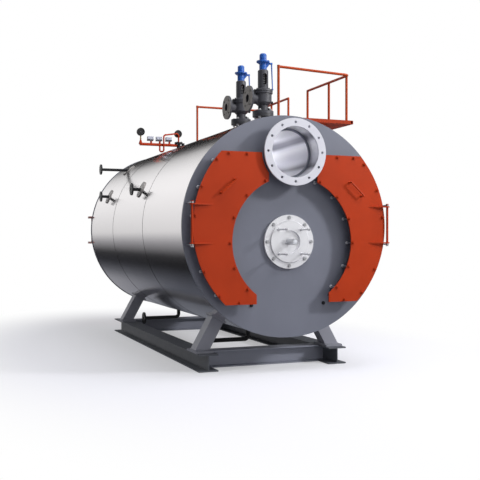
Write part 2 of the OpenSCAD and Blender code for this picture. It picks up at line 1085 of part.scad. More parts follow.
module deck() {
  color("#B23C1E")
    place_axis()
      difference() {
        translate([deck_inner, deck_front, deck_z])
          cube([deck_outer - deck_inner, deck_rear - deck_front, deck_t]);
        // the open end of the outer edge beam
        translate([deck_outer - 26, deck_front - 1, deck_z + 5])
          cube([20, 81, deck_t - 10]);
      }
}

module deck_brackets() {
  low = clad_r - 394;
  pitch = (deck_rear - deck_front - 550) / 3;
  color("#B23C1E")
    place_axis()
      for (y = [for (i = [0 : 3]) deck_rear - 50 - i * pitch])
        sheet_y(y - 6, y + 6)
          difference() {
            polygon([
              [deck_inner, deck_z],
              [deck_outer - 30, deck_z],
              [deck_outer - 30, deck_z - 30],
              [deck_outer - 135, low],
              [deck_inner, low]
            ]);
            circle(r = clad_r, $fn = 360);
          }
}

// a post from the deck, or from the shell beside the deck, up to a rail at z
module post(x, y, z) {
  on_shell()
    bar_z(rail_r, (x > deck_inner) ? deck_top : clad_r - 94, z, x, y);
}

// the thicker head of an end post, which the rail is welded into
module post_head(x, y, z) {
  bar_z(rail_r + 1.2, z - rail_r - 5, z + rail_r + 2, x, y);
}

// rails along the front or rear and the side, joined by a bend; s is 1 at the front, -1 at the rear
// the inner end butts against its post and may stand higher by lift
module rails(x_end, y_line, y_end, s, lift) {
  translate([0, y_line, 0])
    rod_xz(rail_r, [x_end, rail_z + lift], [rail_x - rail_bend - 8, rail_z]);
  // the weld between the straight tube and the bend
  bar_x(rail_r + 1.2, rail_x - rail_bend - 13, rail_x - rail_bend - 3, y_line, rail_z);
  bar_x(rail_r, rail_x - rail_bend - 8, rail_x - rail_bend, y_line, rail_z);
  translate([rail_x - rail_bend, y_line + s * rail_bend, rail_z])
    rotate([0, 0, (s > 0) ? -90 : 0])
      rotate_extrude(angle = 90)
        translate([rail_bend, 0])
          circle(r = rail_r);
  if (s > 0)
    bar_y(rail_r, y_line + rail_bend, y_end, rail_x, rail_z);
  else
    bar_y(rail_r, y_end, y_line - rail_bend, rail_x, rail_z);
  translate([rail_x, y_end, rail_z])
    sphere(r = rail_r);
}

module front_railing() {
  y_line = deck_front + rail_end_inset;
  color("#B23C1E")
    place_axis() {
      rails(rail_start, y_line, y_line + 983, 1, rail_lift);
      post(rail_start, y_line, rail_z + rail_lift);
      post_head(rail_start, y_line, rail_z + rail_lift);
      post(rail_x, y_line + rail_bend, rail_z);
      post(rail_x, y_line + 451, rail_z);
      post(rail_x, y_line + 983, rail_z);
    }
}

module rear_railing() {
  y_line = deck_rear - 2 * rail_end_inset;
  color("#B23C1E")
    place_axis() {
      rails(0, y_line, y_line - 1027, -1, 0);
      post(0, y_line, rail_z);
      post_head(0, y_line, rail_z);
      post(rail_x, y_line - rail_bend, rail_z);
      post(rail_x, y_line - 507, rail_z);
      post(rail_x, y_line - 1027, rail_z);
    }
}

// instruments over the rear of the shell; heights above axis

// top face of the stop valve's outer flange
stop_top = stop_z + 24;
// the siphon tube's corners, as distance from the stop valve and height
siphon_low = clad_r + 36;
siphon_corners = [[0, stop_top], [0, stop_top + 128], [-231.97, stop_top + 89], [-231.97, siphon_low]];
// where its front leg and its rear leg come down, from the stop valve
siphon_front_leg = [-229, -37];
siphon_rear_leg = [-277, 0];

function unit(v) = v / norm(v);

// length that a bend takes off each side of its corner
function bend_cut(p, q, s, bend) = bend * tan(acos(unit(q - p) * unit(s - q)) / 2);

// a tube through corners in the x-z plane, with round bends and a weld at each end of a bend
module bent_tube(r, corners, bend) {
  last = len(corners) - 1;
  cuts = [for (i = [0 : last])
    (i == 0 || i == last) ? 0 : bend_cut(corners[i - 1], corners[i], corners[i + 1], bend)];
  for (i = [0 : last - 1]) {
    d = unit(corners[i + 1] - corners[i]);
    from = corners[i] + cuts[i] * d;
    to = corners[i + 1] - cuts[i + 1] * d;
    rod_xz(r, from, to);
    if (i > 0)
      rod_xz(r + 1.2, from - 4 * d, from + 4 * d);
    if (i < last - 1)
      rod_xz(r + 1.2, to - 4 * d, to + 4 * d);
  }
  for (i = [1 : last - 1]) {
    d1 = unit(corners[i] - corners[i - 1]);
    d2 = unit(corners[i + 1] - corners[i]);
    sweep = acos(d1 * d2);
    left = (d1[0] * d2[1] - d1[1] * d2[0] > 0) ? 1 : -1;
    normal = left * [-d1[1], d1[0]];
    centre = corners[i] - cuts[i] * d1 + bend * normal;
    start = atan2(-normal[1], -normal[0]);
    translate([centre[0], 0, centre[1]])
      rotate([90, 0, 0])
        rotate([0, 0, (left > 0) ? start : start - sweep])
          rotate_extrude(angle = sweep)
            translate([bend, 0])
              circle(r = r);
  }
}

// header pipe along x with its stubs
module instrument_header() {
  color("#B23C1E")
    place_axis()
      translate([0, rear_station, head_z]) {
        bar_x(head_r, -566, -26);
        translate([-553, 0, 0])
          cylinder(h = 62, r1 = head_r + 10, r2 = 9);
        for (x = [-402, siphon_rear_leg[0], -136])
          bar_z(14, 0, 50, x, 0);
      }
}

// bent tube from the stop valve round in front of the header, through a loop and up into it
module siphon_tube() {
  across = siphon_rear_leg - siphon_front_leg;
  loop = norm(across);
  loop_low = siphon_low - loop / 2;
  loop_corners = [[0, siphon_low], [0, loop_low], [loop, loop_low], [loop, head_z - head_r]];
  color("#B23C1E")
    place_axis()
      translate([0, rear_station, 0]) {
        rotate([0, 0, atan2(-siphon_front_leg[1], -siphon_front_leg[0])])
          bent_tube(siphon_r, siphon_corners, 34);
        translate([siphon_front_leg[0], siphon_front_leg[1], 0])
          rotate([0, 0, atan2(across[1], across[0])])
            bent_tube(siphon_r, loop_corners, loop / 2 - 5);
      }
}

// stop valve body on its nozzle, between two pairs of flanges, and a small vent before it
module instrument_valve() {
  color("#2B2C32")
    place_axis()
      on_shell() {
        bar_z(26, clad_r - 94, stop_z + 1, 0, rear_station);
        bar_z(stop_flange_r, stop_z, stop_z + 11, 0, rear_station);
        bar_z(stop_flange_r, stop_top - 11, stop_top, 0, rear_station);
        bar_z(30, stop_z + 10, stop_top - 10, 0, rear_station);
        bar_x(17, 0, 75, rear_station, stop_z - 36);
        bar_z(13, clad_r - 94, clad_r + 76, 0, rear_station - 210);
        bar_z(21, clad_r + 76, clad_r + 112, 0, rear_station - 210);
      }
}

module pressure_switches() {
  color("#C9CCD8")
    place_axis()
      for (x = [-414, -289, -149])
        translate([x - switch_width / 2, rear_station - switch_height / 2, head_z + 50])
          cube([switch_width, switch_height, switch_height]);
}

// a round case with a shallow dial recess
module gauge(x, y, z, r) {
  difference() {
    bar_y(r, y - 20, y + 20, x, z);
    bar_y(r - 6, y - 21, y - 16, x, z);
  }
}

module pressure_gauges() {
  stop_gauge_z = stop_top + 124;
  color("#18181C")
    place_axis() {
      gauge(-553, rear_station, head_z + 62 + gauge_r + 54, gauge_r);
      bar_z(8, head_z + 62, head_z + 125, -553, rear_station);
      gauge(0, rear_station + siphon_r + 25, stop_gauge_z, stop_gauge_r);
      // the stub that the second gauge stands on, seated round the siphon tube
      difference() {
        bar_y(6, rear_station + 8, rear_station + siphon_r + 6, 0, stop_gauge_z - 47);
        bar_z(siphon_r + 0.2, stop_gauge_z - 60, stop_gauge_z - 30, 0, rear_station);
      }
    }
}

// pipework

// a flanged pipe end that faces -X, its pipe running to x = x_in
module flanged_pipe_x(pipe_r, bore_r, flange_r, flange_t, bolt_r, reach, x_in) {
  difference() {
    union() {
      bar_x(pipe_r, -reach, x_in);
      bar_x(flange_r, -reach, -reach + flange_t);
    }
    bar_x(bore_r, -reach - 1, x_in - 10);
    flange_holes_x(bolt_r, small_hole_r, -reach - 1, -reach + flange_t + 1);
  }
}

// a straight nozzle that ends in the cladding, 40 mm inside the curve at its height
module side_nozzle(y, z) {
  translate([0, y, z])
    difference() {
      flanged_pipe_x(nozzle_r, nozzle_bore_r, nozzle_flange_r, nozzle_flange_t, nozzle_bolt_r,
        nozzle_reach, 40 - shell_x(z));
      bar_x(nozzle_bore_r, -clad_r, 41 - shell_x(z));
    }
}

module side_nozzles() {
  color("#1F2026")
    place_axis()
      on_shell() {
        side_nozzle(rear_station, nozzle_high);
        side_nozzle(rear_station, nozzle_low);
        side_nozzle(middle_station, nozzle_low);
      }
}

// flat cover discs where the two lower nozzles leave the cladding
module nozzle_rosettes() {
  color("#C8CACF")
    place_axis()
      for (p = [[rear_station, nozzle_high], [rear_station, nozzle_low], [middle_station, nozzle_low]])
        difference() {
          translate([0, p[0], 0])
            rotate([0, asin(p[1] / clad_r) - 90, 0])
              bar_z(rosette_r, clad_r - 6, clad_r + rosette_t);
          shell_core();
          bar_x(nozzle_r + 0.1, -nozzle_reach, 0, p[0], p[1]);
        }
}

// a blow-down pipe: down from the shell, round an elbow and out to a flange on the left
module blowdown(y) {
  translate([0, y, blow_z - axis_z]) {
    bar_z(blow_r, blow_bend, shell_clear - blow_z + 156);
    translate([-blow_bend, 0, blow_bend])
      rotate([90, 0, 0])
        rotate([0, 0, -90])
          rotate_extrude(angle = 90)
            translate([blow_bend, 0])
              circle(r = blow_r);
    flanged_pipe_x(blow_r, blow_bore_r, blow_flange_r, 20, blow_bolt_r, blow_reach, -blow_bend);
  }
}

module blowdown_pipes() {
  color("#1F2026")
    place_axis()
      on_shell() {
        blowdown(front_station);
        blowdown(rear_station);
      }
}

skid_left();
skid_right();
cross_beam_front();
cross_beam_rear();
support_legs();
cladding_front();
cladding_middle();
cladding_rear();
front_plate();
rear_plate();
rear_door_frame();
rear_doors();
rear_hinges();
flue_flange();
flue_stub();
flue_duct();
burner_plate();
burner_studs();
sight_tube();
door_frame_left();
door_frame_right();
door_left();
door_right();
door_lining_left();
door_lining_right();
hinge_pin_left();
hinge_pin_right();
hinge_eyes();
clamp_studs();
drain_plugs();
valve_nozzles();
front_valve_body();
rear_valve_body();
front_valve_cap();
rear_valve_cap();
front_valve_lever();
rear_valve_lever();
deck();
deck_brackets();
front_railing();
rear_railing();
instrument_header();
siphon_tube();
instrument_valve();
pressure_switches();
pressure_gauges();
side_nozzles();
nozzle_rosettes();
blowdown_pipes();
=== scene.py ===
"""Looks of a horizontal fire-tube steam boiler: paint, polished cladding, fasteners and castings."""

import math

import bpy
from mathutils import Matrix, Vector


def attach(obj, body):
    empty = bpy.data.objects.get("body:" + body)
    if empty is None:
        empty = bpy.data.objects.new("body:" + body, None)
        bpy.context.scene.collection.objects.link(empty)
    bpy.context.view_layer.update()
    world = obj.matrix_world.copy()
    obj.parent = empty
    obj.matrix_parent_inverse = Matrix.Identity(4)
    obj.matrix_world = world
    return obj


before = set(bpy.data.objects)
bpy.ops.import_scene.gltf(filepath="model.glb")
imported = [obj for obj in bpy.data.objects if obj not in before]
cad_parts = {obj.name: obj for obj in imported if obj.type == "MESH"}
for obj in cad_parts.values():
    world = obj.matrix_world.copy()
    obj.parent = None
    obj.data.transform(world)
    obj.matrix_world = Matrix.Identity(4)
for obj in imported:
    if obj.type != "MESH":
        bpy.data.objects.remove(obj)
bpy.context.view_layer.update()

# The CAD counts y from the front plate's face and z from the shell's axis; both are shifted here.
PLATE_FACE_Y = -2.1805
AXIS_Z = 1.450

# Places and sizes in the CAD's millimetres, counted the CAD's way.
# shell and flue
SEAMS_Y = (1492, 3007)
CLADDING_R = 1094
FLUE_Z = 724
FLUE_BORE_R = 250.5
# burner seat: the plate's face, and the studs with the faces that their nuts sit on
BURNER_Z = -151
BURNER_FACE_Y = -30
STUD_OFFSETS = (-120, 120)
STUD_NUTS_Y = (-50, -222)
# doors: edges and clamps; on the right-hand one the hinge pin's foot, the handle's middle, the way from there
# to each of its feet, and its lean in degrees
DOOR_R = 1030
DOOR_INNER_R = 640
CLAMP_INSET = 20
LOCK_NUTS_Y = -0.5
PIN_FOOT = (1047, -150, -187)
HANDLE = (685.9, -130, 375.5)
HANDLE_FOOT = 95
HANDLE_LEAN = 43.5
# rear doors: clamps on the curved and the straight edges, and the handles' middle
REAR_FACE_Y = 4568
REAR_CLAMPS_R = 975
REAR_CLAMPS_X = 36
REAR_HANDLE_X = 620
REAR_HANDLE_Z = 375
# safety valves: seat, inlet flanges above and below, cover, outlet and how far its flange is turned bare, plugs
VALVES_Y = (629, 1266)
VALVE_SEAT_Z = 1202
INLET_TOP_Z = 1232
INLET_UNDER_Z = 1172
COVER_TOP_Z = 1458
OUTLET_Z = 1361
OUTLET_FACE_X = -178
OUTLET_BARE_X = -176.5
VALVE_PLUGS_XZ = ((91, 1330), (52, 1258))
# instruments: the rims of the two gauges, whose dials are sunk, the switches and the stop valve's flanges
HEADER_Y = 3680
GAUGES = ((-553, 3660, 1367), (0, 3696, 1366))
DIAL_SUNK = 4
SWITCHES_X = (-414, -289, -149)
SWITCH_FOOT_Z = 1258
STOP_TOP_Z = 1242
STOP_UNDER_Z = 1218
# pipework and legs: the backs of the flanges, the cover discs' thickness and the feet of the legs
SIDE_NOZZLES_YZ = ((3680, 822), (3680, 452), (1926, 452))
NOZZLE_FLANGE_X = -1102
ROSETTE_T = 8
BLOWDOWNS_Y = (1048, 3680)
BLOWDOWN_FLANGE_X = -495
BLOWDOWN_Z = -1238
LEGS_X = 736
LEGS_Y = (548, 3752)
LEG_WELD_Z = -1250.5
# walkway: posts, the railings' ends on the shell, and the first lozenge, spacing and count of the tread
DECK_TOP = 1135
POST_X = 850
POSTS_Y = (345, 746, 1278, 1813, 2333, 2790)
POST_CLEARANCE = 40
RAIL_ENDS = ((30, 295, 1093), (0, 2840, 1093))
TREAD_START = (328, 305)
TREAD_PITCH = (54, 52.8)
TREAD_COUNT = (11, 49)


def at(x, y, z):
    """A point given from the front plate's face and the shell's axis, in millimetres."""
    return Vector((x / 1000, y / 1000 + PLATE_FACE_Y, z / 1000 + AXIS_Z))


# ---- materials


def rgb(code):
    """A colour written as an sRGB hex value, turned to linear light."""
    parts = [int(code[i : i + 2], 16) / 255 for i in (1, 3, 5)]
    linear = [c / 12.92 if c <= 0.04045 else ((c + 0.055) / 1.055) ** 2.4 for c in parts]
    return (*linear, 1.0)


def connect(node, **links):
    """Links sockets, or the first output of nodes, to a node's inputs: by name, or by number as i0."""
    for name, source in links.items():
        number = name[1:]
        socket = node.inputs[int(number) if number.isdigit() else name.replace("_", " ")]
        node.id_data.links.new(source.outputs[0] if hasattr(source, "outputs") else source, socket)


def add_node(tree, kind, settings=None, stops=None, **links):
    """Adds a node: its own properties or input values, a colour ramp's stops, and links to its inputs."""
    made = tree.nodes.new(kind)
    for name, value in (settings or {}).items():
        if isinstance(name, str) and hasattr(made, name):
            setattr(made, name, value)
        else:
            made.inputs[name].default_value = value
    for spot, tone in stops or []:
        ramp = made.color_ramp.elements
        stop = ramp[0] if spot == stops[0][0] else ramp[-1] if spot == stops[-1][0] else ramp.new(spot)
        stop.position = spot
        stop.color = rgb(tone) if isinstance(tone, str) else (tone, tone, tone, 1)
    connect(made, **links)
    return made


def new_material(name, colour, metallic=0.0, roughness=0.5, **shader):
    """A material with its constants on the shader's own sockets, and object coordinates to work from."""
    made = bpy.data.materials.new(name)
    made.use_nodes = True
    tree = made.node_tree
    bsdf = tree.nodes["Principled BSDF"]
    bsdf.inputs["Base Color"].default_value = rgb(colour)
    bsdf.inputs["Metallic"].default_value = metallic
    bsdf.inputs["Roughness"].default_value = roughness
    for socket, value in shader.items():
        bsdf.inputs[socket.replace("_", " ")].default_value = value
    where = add_node(tree, "ShaderNodeTexCoord").outputs["Object"]
    return made, tree, bsdf, where


def painted(name, colour, worn, roughness, peel=0.02, **shader):
    """Sprayed enamel: slightly uneven gloss, a faint change of tone and orange peel.

    With a peel of 0 mm the face is smooth, as on moulded plastic, frosted glass and buffed steel.
    """
    made, tree, bsdf, where = new_material(name, colour, roughness=roughness, **shader)
    cloud = add_node(tree, "ShaderNodeTexNoise", {"Scale": 1 / 0.35, "Detail": 4.0}, Vector=where)
    tone = add_node(tree, "ShaderNodeValToRGB", stops=[(0.35, worn), (0.65, colour)], Fac=cloud)
    streaks = add_node(tree, "ShaderNodeTexNoise", {"Scale": 1 / 0.06}, Vector=where)
    low, high = roughness - 0.06, roughness + 0.06
    gloss = add_node(tree, "ShaderNodeMapRange", {"To Min": low, "To Max": high}, Value=streaks)
    connect(bsdf, Base_Color=tone, Roughness=gloss)
    if peel:
        # orange peel of about 3 mm, drawn 12 mm across so that it shows
        grain = add_node(tree, "ShaderNodeTexNoise", {"Scale": 1 / 0.012, "Detail": 2.0}, Vector=where)
        connect(bsdf, Normal=add_node(tree, "ShaderNodeBump", {"Distance": peel / 1000}, Height=grain))
    return made


def rolled_stainless(name):
    """Cold-rolled stainless sheet: nearly a mirror, with a fine grain round the shell and soft oil-canning."""
    made, tree, bsdf, where = new_material(name, "#EFEDED", 1.0, 0.16)
    # rolling grain of 0.3 mm, drawn about 4 mm apart so that it shows
    stretched = add_node(tree, "ShaderNodeMapping", {"Scale": (1, 14, 1)}, Vector=where)
    grain = add_node(tree, "ShaderNodeTexNoise", {"Scale": 1 / 0.05, "Detail": 4.0}, Vector=stretched)
    tone = add_node(tree, "ShaderNodeValToRGB", stops=[(0.3, "#EDE9EA"), (0.7, "#F5F1F2")], Fac=grain)
    gloss = add_node(tree, "ShaderNodeMapRange", {"To Min": 0.11, "To Max": 0.18}, Value=grain)
    # painted shade: the cut edges of the laps are dark and dull, for the shadow of the step where one sheet laps the
    # next
    split = add_node(tree, "ShaderNodeSeparateXYZ", Vector=where)
    edge = None
    for seam in SEAMS_Y:
        line = PLATE_FACE_Y + seam / 1000
        band = {"operation": "COMPARE", 1: line, 2: 0.002}
        near = add_node(tree, "ShaderNodeMath", band, i0=split.outputs["Y"])
        edge = add_node(tree, "ShaderNodeMath", {"operation": "MAXIMUM"}, i0=edge, i1=near) if edge else near
    dark = add_node(tree, "ShaderNodeMix", {"data_type": "RGBA", 7: rgb("#4A4848")}, i0=edge, i6=tone)
    rough = add_node(tree, "ShaderNodeMix", {"data_type": "FLOAT", 3: 0.6}, i0=edge, i2=gloss)
    connect(bsdf, Base_Color=dark.outputs[2], Roughness=rough.outputs[0])
    # sheet never lies quite flat: waves about 450 mm long, a fraction of a millimetre deep
    waves = add_node(tree, "ShaderNodeTexNoise", {"Scale": 1 / 0.45, "Detail": 1.0}, Vector=where)
    connect(bsdf, Normal=add_node(tree, "ShaderNodeBump", {"Distance": 0.0005}, Height=waves))
    return made


def cast_iron(name, colour, machined=None, face_x=0.0):
    """Painted sand casting, its sand grain showing; beyond face_x, in metres, it is bare machined iron."""
    made, tree, bsdf, where = new_material(name, colour, 0.0, 0.5)
    patches = add_node(tree, "ShaderNodeTexNoise", {"Scale": 1 / 0.02}, Vector=where)
    gloss = add_node(tree, "ShaderNodeMapRange", {"To Min": 0.4, "To Max": 0.56}, Value=patches)
    connect(bsdf, Roughness=gloss)
    if machined:
        split = add_node(tree, "ShaderNodeSeparateXYZ", Vector=where)
        bare = add_node(tree, "ShaderNodeMath", {"operation": "LESS_THAN", 1: face_x}, i0=split.outputs["X"])
        both = add_node(tree, "ShaderNodeMix", {"data_type": "RGBA", 6: rgb(colour), 7: rgb(machined)}, i0=bare)
        connect(bsdf, Base_Color=both.outputs[2])
    # sand grain of about 1 mm, drawn at 6 mm
    grain = add_node(tree, "ShaderNodeTexNoise", {"Scale": 1 / 0.006, "Detail": 3.0}, Vector=where)
    connect(bsdf, Normal=add_node(tree, "ShaderNodeBump", {"Distance": 0.00012}, Height=grain))
    return made


def flue_steel(name, outside):
    """Bright stainless of the flue, with painted reflections in light and dark bands along its length; its outside
    is painted.
    """
    made, tree, bsdf, where = new_material(name, "#EDEDF1", 0.3, 0.3)
    # round the flue's own axis
    moved = {"Location": (0, 0, -AXIS_Z - FLUE_Z / 1000), "Scale": (1, 0, 1)}
    centred = add_node(tree, "ShaderNodeMapping", moved, Vector=where)
    split = add_node(tree, "ShaderNodeSeparateXYZ", Vector=centred)
    angle = add_node(tree, "ShaderNodeMath", {"operation": "ARCTAN2"}, i0=split.outputs["Z"], i1=split.outputs["X"])
    spans = {"From Min": -math.pi, "From Max": math.pi, "To Min": -0.02, "To Max": 0.98}
    turn = add_node(tree, "ShaderNodeMapRange", spans, Value=angle)
    # the painted reflections' edges wander by some 30 mm along the duct
    stretched = add_node(tree, "ShaderNodeMapping", {"Scale": (1, 0.3, 1)}, Vector=where)
    wander = add_node(tree, "ShaderNodeTexNoise", {"Scale": 1 / 0.3, "Detail": 1.0}, Vector=stretched)
    bent = add_node(tree, "ShaderNodeMath", {"operation": "MULTIPLY_ADD", 1: 0.04}, i0=wander, i2=turn)
    # painted reflections: light and dark bands of 60 to 300 mm, as parts of a turn from the left, over the bottom,
    # the right and the top
    bands = [
        (0.0, "#B0B0B8"), (0.29, "#EFEFF4"), (0.385, "#D4D4DB"), (0.415, "#4C4C54"), (0.445, "#B4B4BC"),
        (0.48, "#E0E0E6"), (0.55, "#FFFFFF"), (0.575, "#F2F2F6"), (0.6, "#80808A"), (0.63, "#8A8A94"),
        (0.665, "#FBFBFE"), (0.75, "#FFFFFF"), (0.86, "#A4A4AC"), (1.0, "#B0B0B8"),
    ]
    tone = add_node(tree, "ShaderNodeValToRGB", stops=bands, Fac=bent)
    # everything nearer the flue's axis than the pipe's wall is bare, the rest is paint
    radius = add_node(tree, "ShaderNodeVectorMath", {"operation": "LENGTH"}, i0=centred)
    inside = {"operation": "LESS_THAN", 1: FLUE_BORE_R / 1000}
    bare = add_node(tree, "ShaderNodeMath", inside, i0=radius.outputs["Value"])
    both = add_node(tree, "ShaderNodeMix", {"data_type": "RGBA", 6: rgb(outside)}, i0=bare, i7=tone)
    connect(bsdf, Base_Color=both.outputs[2])
    return made


def fitting_metal(name, colour, roughness=0.3, metallic=1.0):
    """Plated or bare metal of nuts, pins, springs and discs, its gloss slightly uneven."""
    made, tree, bsdf, where = new_material(name, colour, metallic, roughness)
    patches = add_node(tree, "ShaderNodeTexNoise", {"Scale": 1 / 0.01}, Vector=where)
    low, high = roughness - 0.07, roughness + 0.07
    connect(bsdf, Roughness=add_node(tree, "ShaderNodeMapRange", {"To Min": low, "To Max": high}, Value=patches))
    return made


# cladding and flue: bright sheet that shows the hall, the flue with painted reflections in bands; the cover discs
# are a duller sheet
CLADDING = rolled_stainless("rolled_stainless_sheet")
FLUE = flue_steel("polished_stainless_flue", "#50525C")
ROSETTE = fitting_metal("dull_stainless_sheet", "#ADA9A7", 0.5, 0.35)
# plates, legs and beams: sprayed grey enamels of several shades, satin, with an even face; some shades are painted
# light
PLATE = painted("grey_enamel_plate", "#727582", "#6E717E", 0.42)
FRAME_GREY = painted("dark_grey_enamel", "#50525C", "#4B4D57", 0.45)
SKID = painted("dark_grey_skid_paint", "#5A5D65", "#555860", 0.42)
# painted light: the cross beams' and legs' grey is lighter than the skids', making up for the shade under the shell
CROSS = painted("grey_cross_beam_paint", "#9194A2", "#8C8F9D", 0.42)
LEG = painted("grey_leg_paint", "#9495A0", "#8F909B", 0.42)
# doors, rails and walkway: orange enamel, satin, so its colour stays deep under the lamps
ORANGE = painted("orange_enamel", "#B0360E", "#A8330C", 0.4, Specular_IOR_Level=0.2)
RAIL = painted("orange_rail_enamel", "#AE4318", "#A63F16", 0.4, 0, Specular_IOR_Level=0.2)
# painted shade: the walkway's orange is a darker copy of the doors', making up for the key lamp's light on its edge
DECK = painted("orange_deck_enamel", "#9C3210", "#942E0D", 0.45, Specular_IOR_Level=0.15)
TUBE = painted("orange_tube_enamel", "#B23712", "#AA340F", 0.4, 0, Specular_IOR_Level=0.2)
# flue flange, burner plate and sight glass: pale paint with a soft sheen, steel buffed white, milky glass
PALE = painted("pale_grey_flange_paint", "#D4D4DC", "#CFCFD8", 0.38)
BURNER = painted("buffed_burner_plate", "#F8F8FC", "#F4F4F9", 0.22, 0, Metallic=0.5)
GLASS = painted("frosted_sight_glass", "#DEE0E6", "#D6D8DF", 0.15, 0)
# pipework and valves: satin black, grainy castings with flange faces turned bare, blue caps, a dark spring
BLACK = painted("satin_black_paint", "#1C1D22", "#18191D", 0.4, Specular_IOR_Level=0.3)
CASTING = cast_iron("painted_iron_casting", "#42434A", "#746E6A", OUTLET_BARE_X / 1000)
MACHINED = cast_iron("bare_machined_iron", "#7B7571")
IRON = cast_iron("painted_iron_fitting", "#36373C")
BLUE = painted("blue_enamel", "#2C61B6", "#295CAD", 0.34, Specular_IOR_Level=0.3)
SPRING = fitting_metal("oiled_spring_steel", "#8A8B90", 0.4)
# fasteners and small fittings: zinc that glints, a whiter zinc on the studs' nuts, and yellow brass
BRIGHT = fitting_metal("zinc_plated_steel", "#C6C7CB")
# partly painted light: a whiter, less metallic copy of the zinc, so that the nuts read white where they sit in shade
ZINC = fitting_metal("white_zinc_plate", "#E9E9EE", 0.35, 0.3)
BRASS = fitting_metal("brass", "#D8BE86", 0.3, 0.8)
# insulation behind the doors: chalky board without gloss
LINING = painted("calcium_silicate_board", "#C9C1AF", "#BFB6A3", 0.85, 0.2)
# instruments: moulded plastic cases, smooth and satin, and dial strokes that have faded to grey
SWITCH = painted("grey_abs_case", "#B9BCCB", "#B5B8C8", 0.45, 0)
SWITCH_BASE = painted("dark_abs_base", "#33353C", "#2E3036", 0.45, 0)
GAUGE = painted("black_gauge_case", "#121216", "#0F0F12", 0.35, 0)
DIAL = painted("faded_dial_print", "#5C5E66", "#55575F", 0.5, 0)

NODE_FINISH = {
    CLADDING: ["cladding_front", "cladding_middle", "cladding_rear"],
    ROSETTE: ["nozzle_rosettes"],
    PLATE: ["front_plate", "rear_plate", "rear_door_frame"],
    FRAME_GREY: ["door_frame_left", "door_frame_right"],
    SKID: ["skid_left", "skid_right"],
    CROSS: ["cross_beam_front", "cross_beam_rear"],
    LEG: ["support_legs"],
    ORANGE: ["door_left", "door_right", "rear_doors", "rear_hinges"],
    DECK: ["deck", "deck_brackets"],
    TUBE: ["instrument_header", "siphon_tube", "hinge_pin_left", "hinge_pin_right"],
    RAIL: ["front_railing", "rear_railing"],
    PALE: ["flue_flange"],
    BURNER: ["burner_plate"],
    FLUE: ["flue_duct", "flue_stub"],
    BLACK: ["drain_plugs", "instrument_valve", "side_nozzles", "blowdown_pipes"],
    IRON: ["valve_nozzles"],
    CASTING: ["front_valve_body", "rear_valve_body"],
    BLUE: ["front_valve_cap", "rear_valve_cap", "front_valve_lever", "rear_valve_lever"],
    BRIGHT: ["burner_studs", "sight_tube", "hinge_eyes", "clamp_studs"],
    LINING: ["door_lining_left", "door_lining_right"],
    SWITCH: ["pressure_switches"],
    GAUGE: ["pressure_gauges"],
}

for material, names in NODE_FINISH.items():
    for name in names:
        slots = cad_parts[name].data.materials
        slots.clear()
        slots.append(material)


# ---- making pieces

FRONT = Matrix.Rotation(math.radians(90), 4, "X")
BACK = Matrix.Rotation(math.radians(-90), 4, "X")
LEFT = Matrix.Rotation(math.radians(-90), 4, "Y")
RIGHT = Matrix.Rotation(math.radians(90), 4, "Y")
DOWN = Matrix.Rotation(math.radians(180), 4, "X")


def place(x, y, z, turn=None, spin=0.0):
    """Sets a template's Z along a direction at a point given in the CAD's millimetres."""
    return Matrix.Translation(at(x, y, z)) @ (turn or Matrix()) @ Matrix.Rotation(math.radians(spin), 4, "Z")


def begin(operator, name, **sizes):
    """Adds a primitive by itself, so that the next operators act on nothing else."""
    bpy.ops.object.select_all(action="DESELECT")
    operator(**sizes)
    bpy.context.object.name = name
    return bpy.context.object


def turned(name, rings, sides, ring_shaped=False):
    """A body turned about Z: a disc or a hoop extruded and resized ring by ring, as (radius, height) in mm.

    A ring-shaped one starts without a face and ends where it began.
    """
    radius, height = rings[0]
    fill = "NOTHING" if ring_shaped else "NGON"
    made = begin(bpy.ops.mesh.primitive_circle_add, name, vertices=sides, radius=radius / 1000, fill_type=fill)
    bpy.ops.object.mode_set(mode="EDIT")
    bpy.ops.transform.translate(value=(0, 0, height / 1000))
    for new_radius, new_height in rings[1:]:
        rise = (0, 0, (new_height - height) / 1000)
        bpy.ops.mesh.extrude_region_move(TRANSFORM_OT_translate={"value": rise})
        grow = new_radius / radius
        bpy.ops.transform.resize(value=(grow, grow, 1), center_override=(0, 0, new_height / 1000))
        radius, height = new_radius, new_height
    bpy.ops.mesh.select_all(action="SELECT")
    bpy.ops.mesh.remove_doubles(threshold=0.00001)
    bpy.ops.mesh.normals_make_consistent(inside=False)
    bpy.ops.object.mode_set(mode="OBJECT")
    return made


def join(name, pieces):
    """Joins pieces into one, under a new name."""
    bpy.ops.object.select_all(action="DESELECT")
    for piece in pieces:
        piece.select_set(True)
    bpy.context.view_layer.objects.active = pieces[0]
    if len(pieces) > 1:
        bpy.ops.object.join()
    bpy.context.object.name = name
    bpy.context.object.data.name = name
    return bpy.context.object


def finish(piece, material, body="boiler", smooth=40):
    """Gives a finished piece its material, its smooth faces and the body that carries it."""
    bpy.ops.object.select_all(action="DESELECT")
    piece.select_set(True)
    bpy.context.view_layer.objects.active = piece
    bpy.ops.object.shade_smooth_by_angle(angle=math.radians(smooth))
    piece.data.materials.clear()
    piece.data.materials.append(material)
    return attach(piece, body)


def spread(template, name, spots):
    """Copies a template to each place, each copy with its own mesh, and joins the copies into one piece."""
    copies = []
    for where in spots:
        copy = template.copy()
        copy.data = template.data.copy()
        copy.data.transform(where)
        bpy.context.scene.collection.objects.link(copy)
        copies.append(copy)
    bpy.data.objects.remove(template)
    return join(name, copies)


def hexagon(name, across, thick, low=0.0):
    """A hexagon head or nut with its top corners taken off."""
    r = across / math.sqrt(3)
    return turned(name, [(r * 0.99, low), (r, low + 0.6), (r, low + thick * 0.8), (r * 0.87, low + thick)], 6)


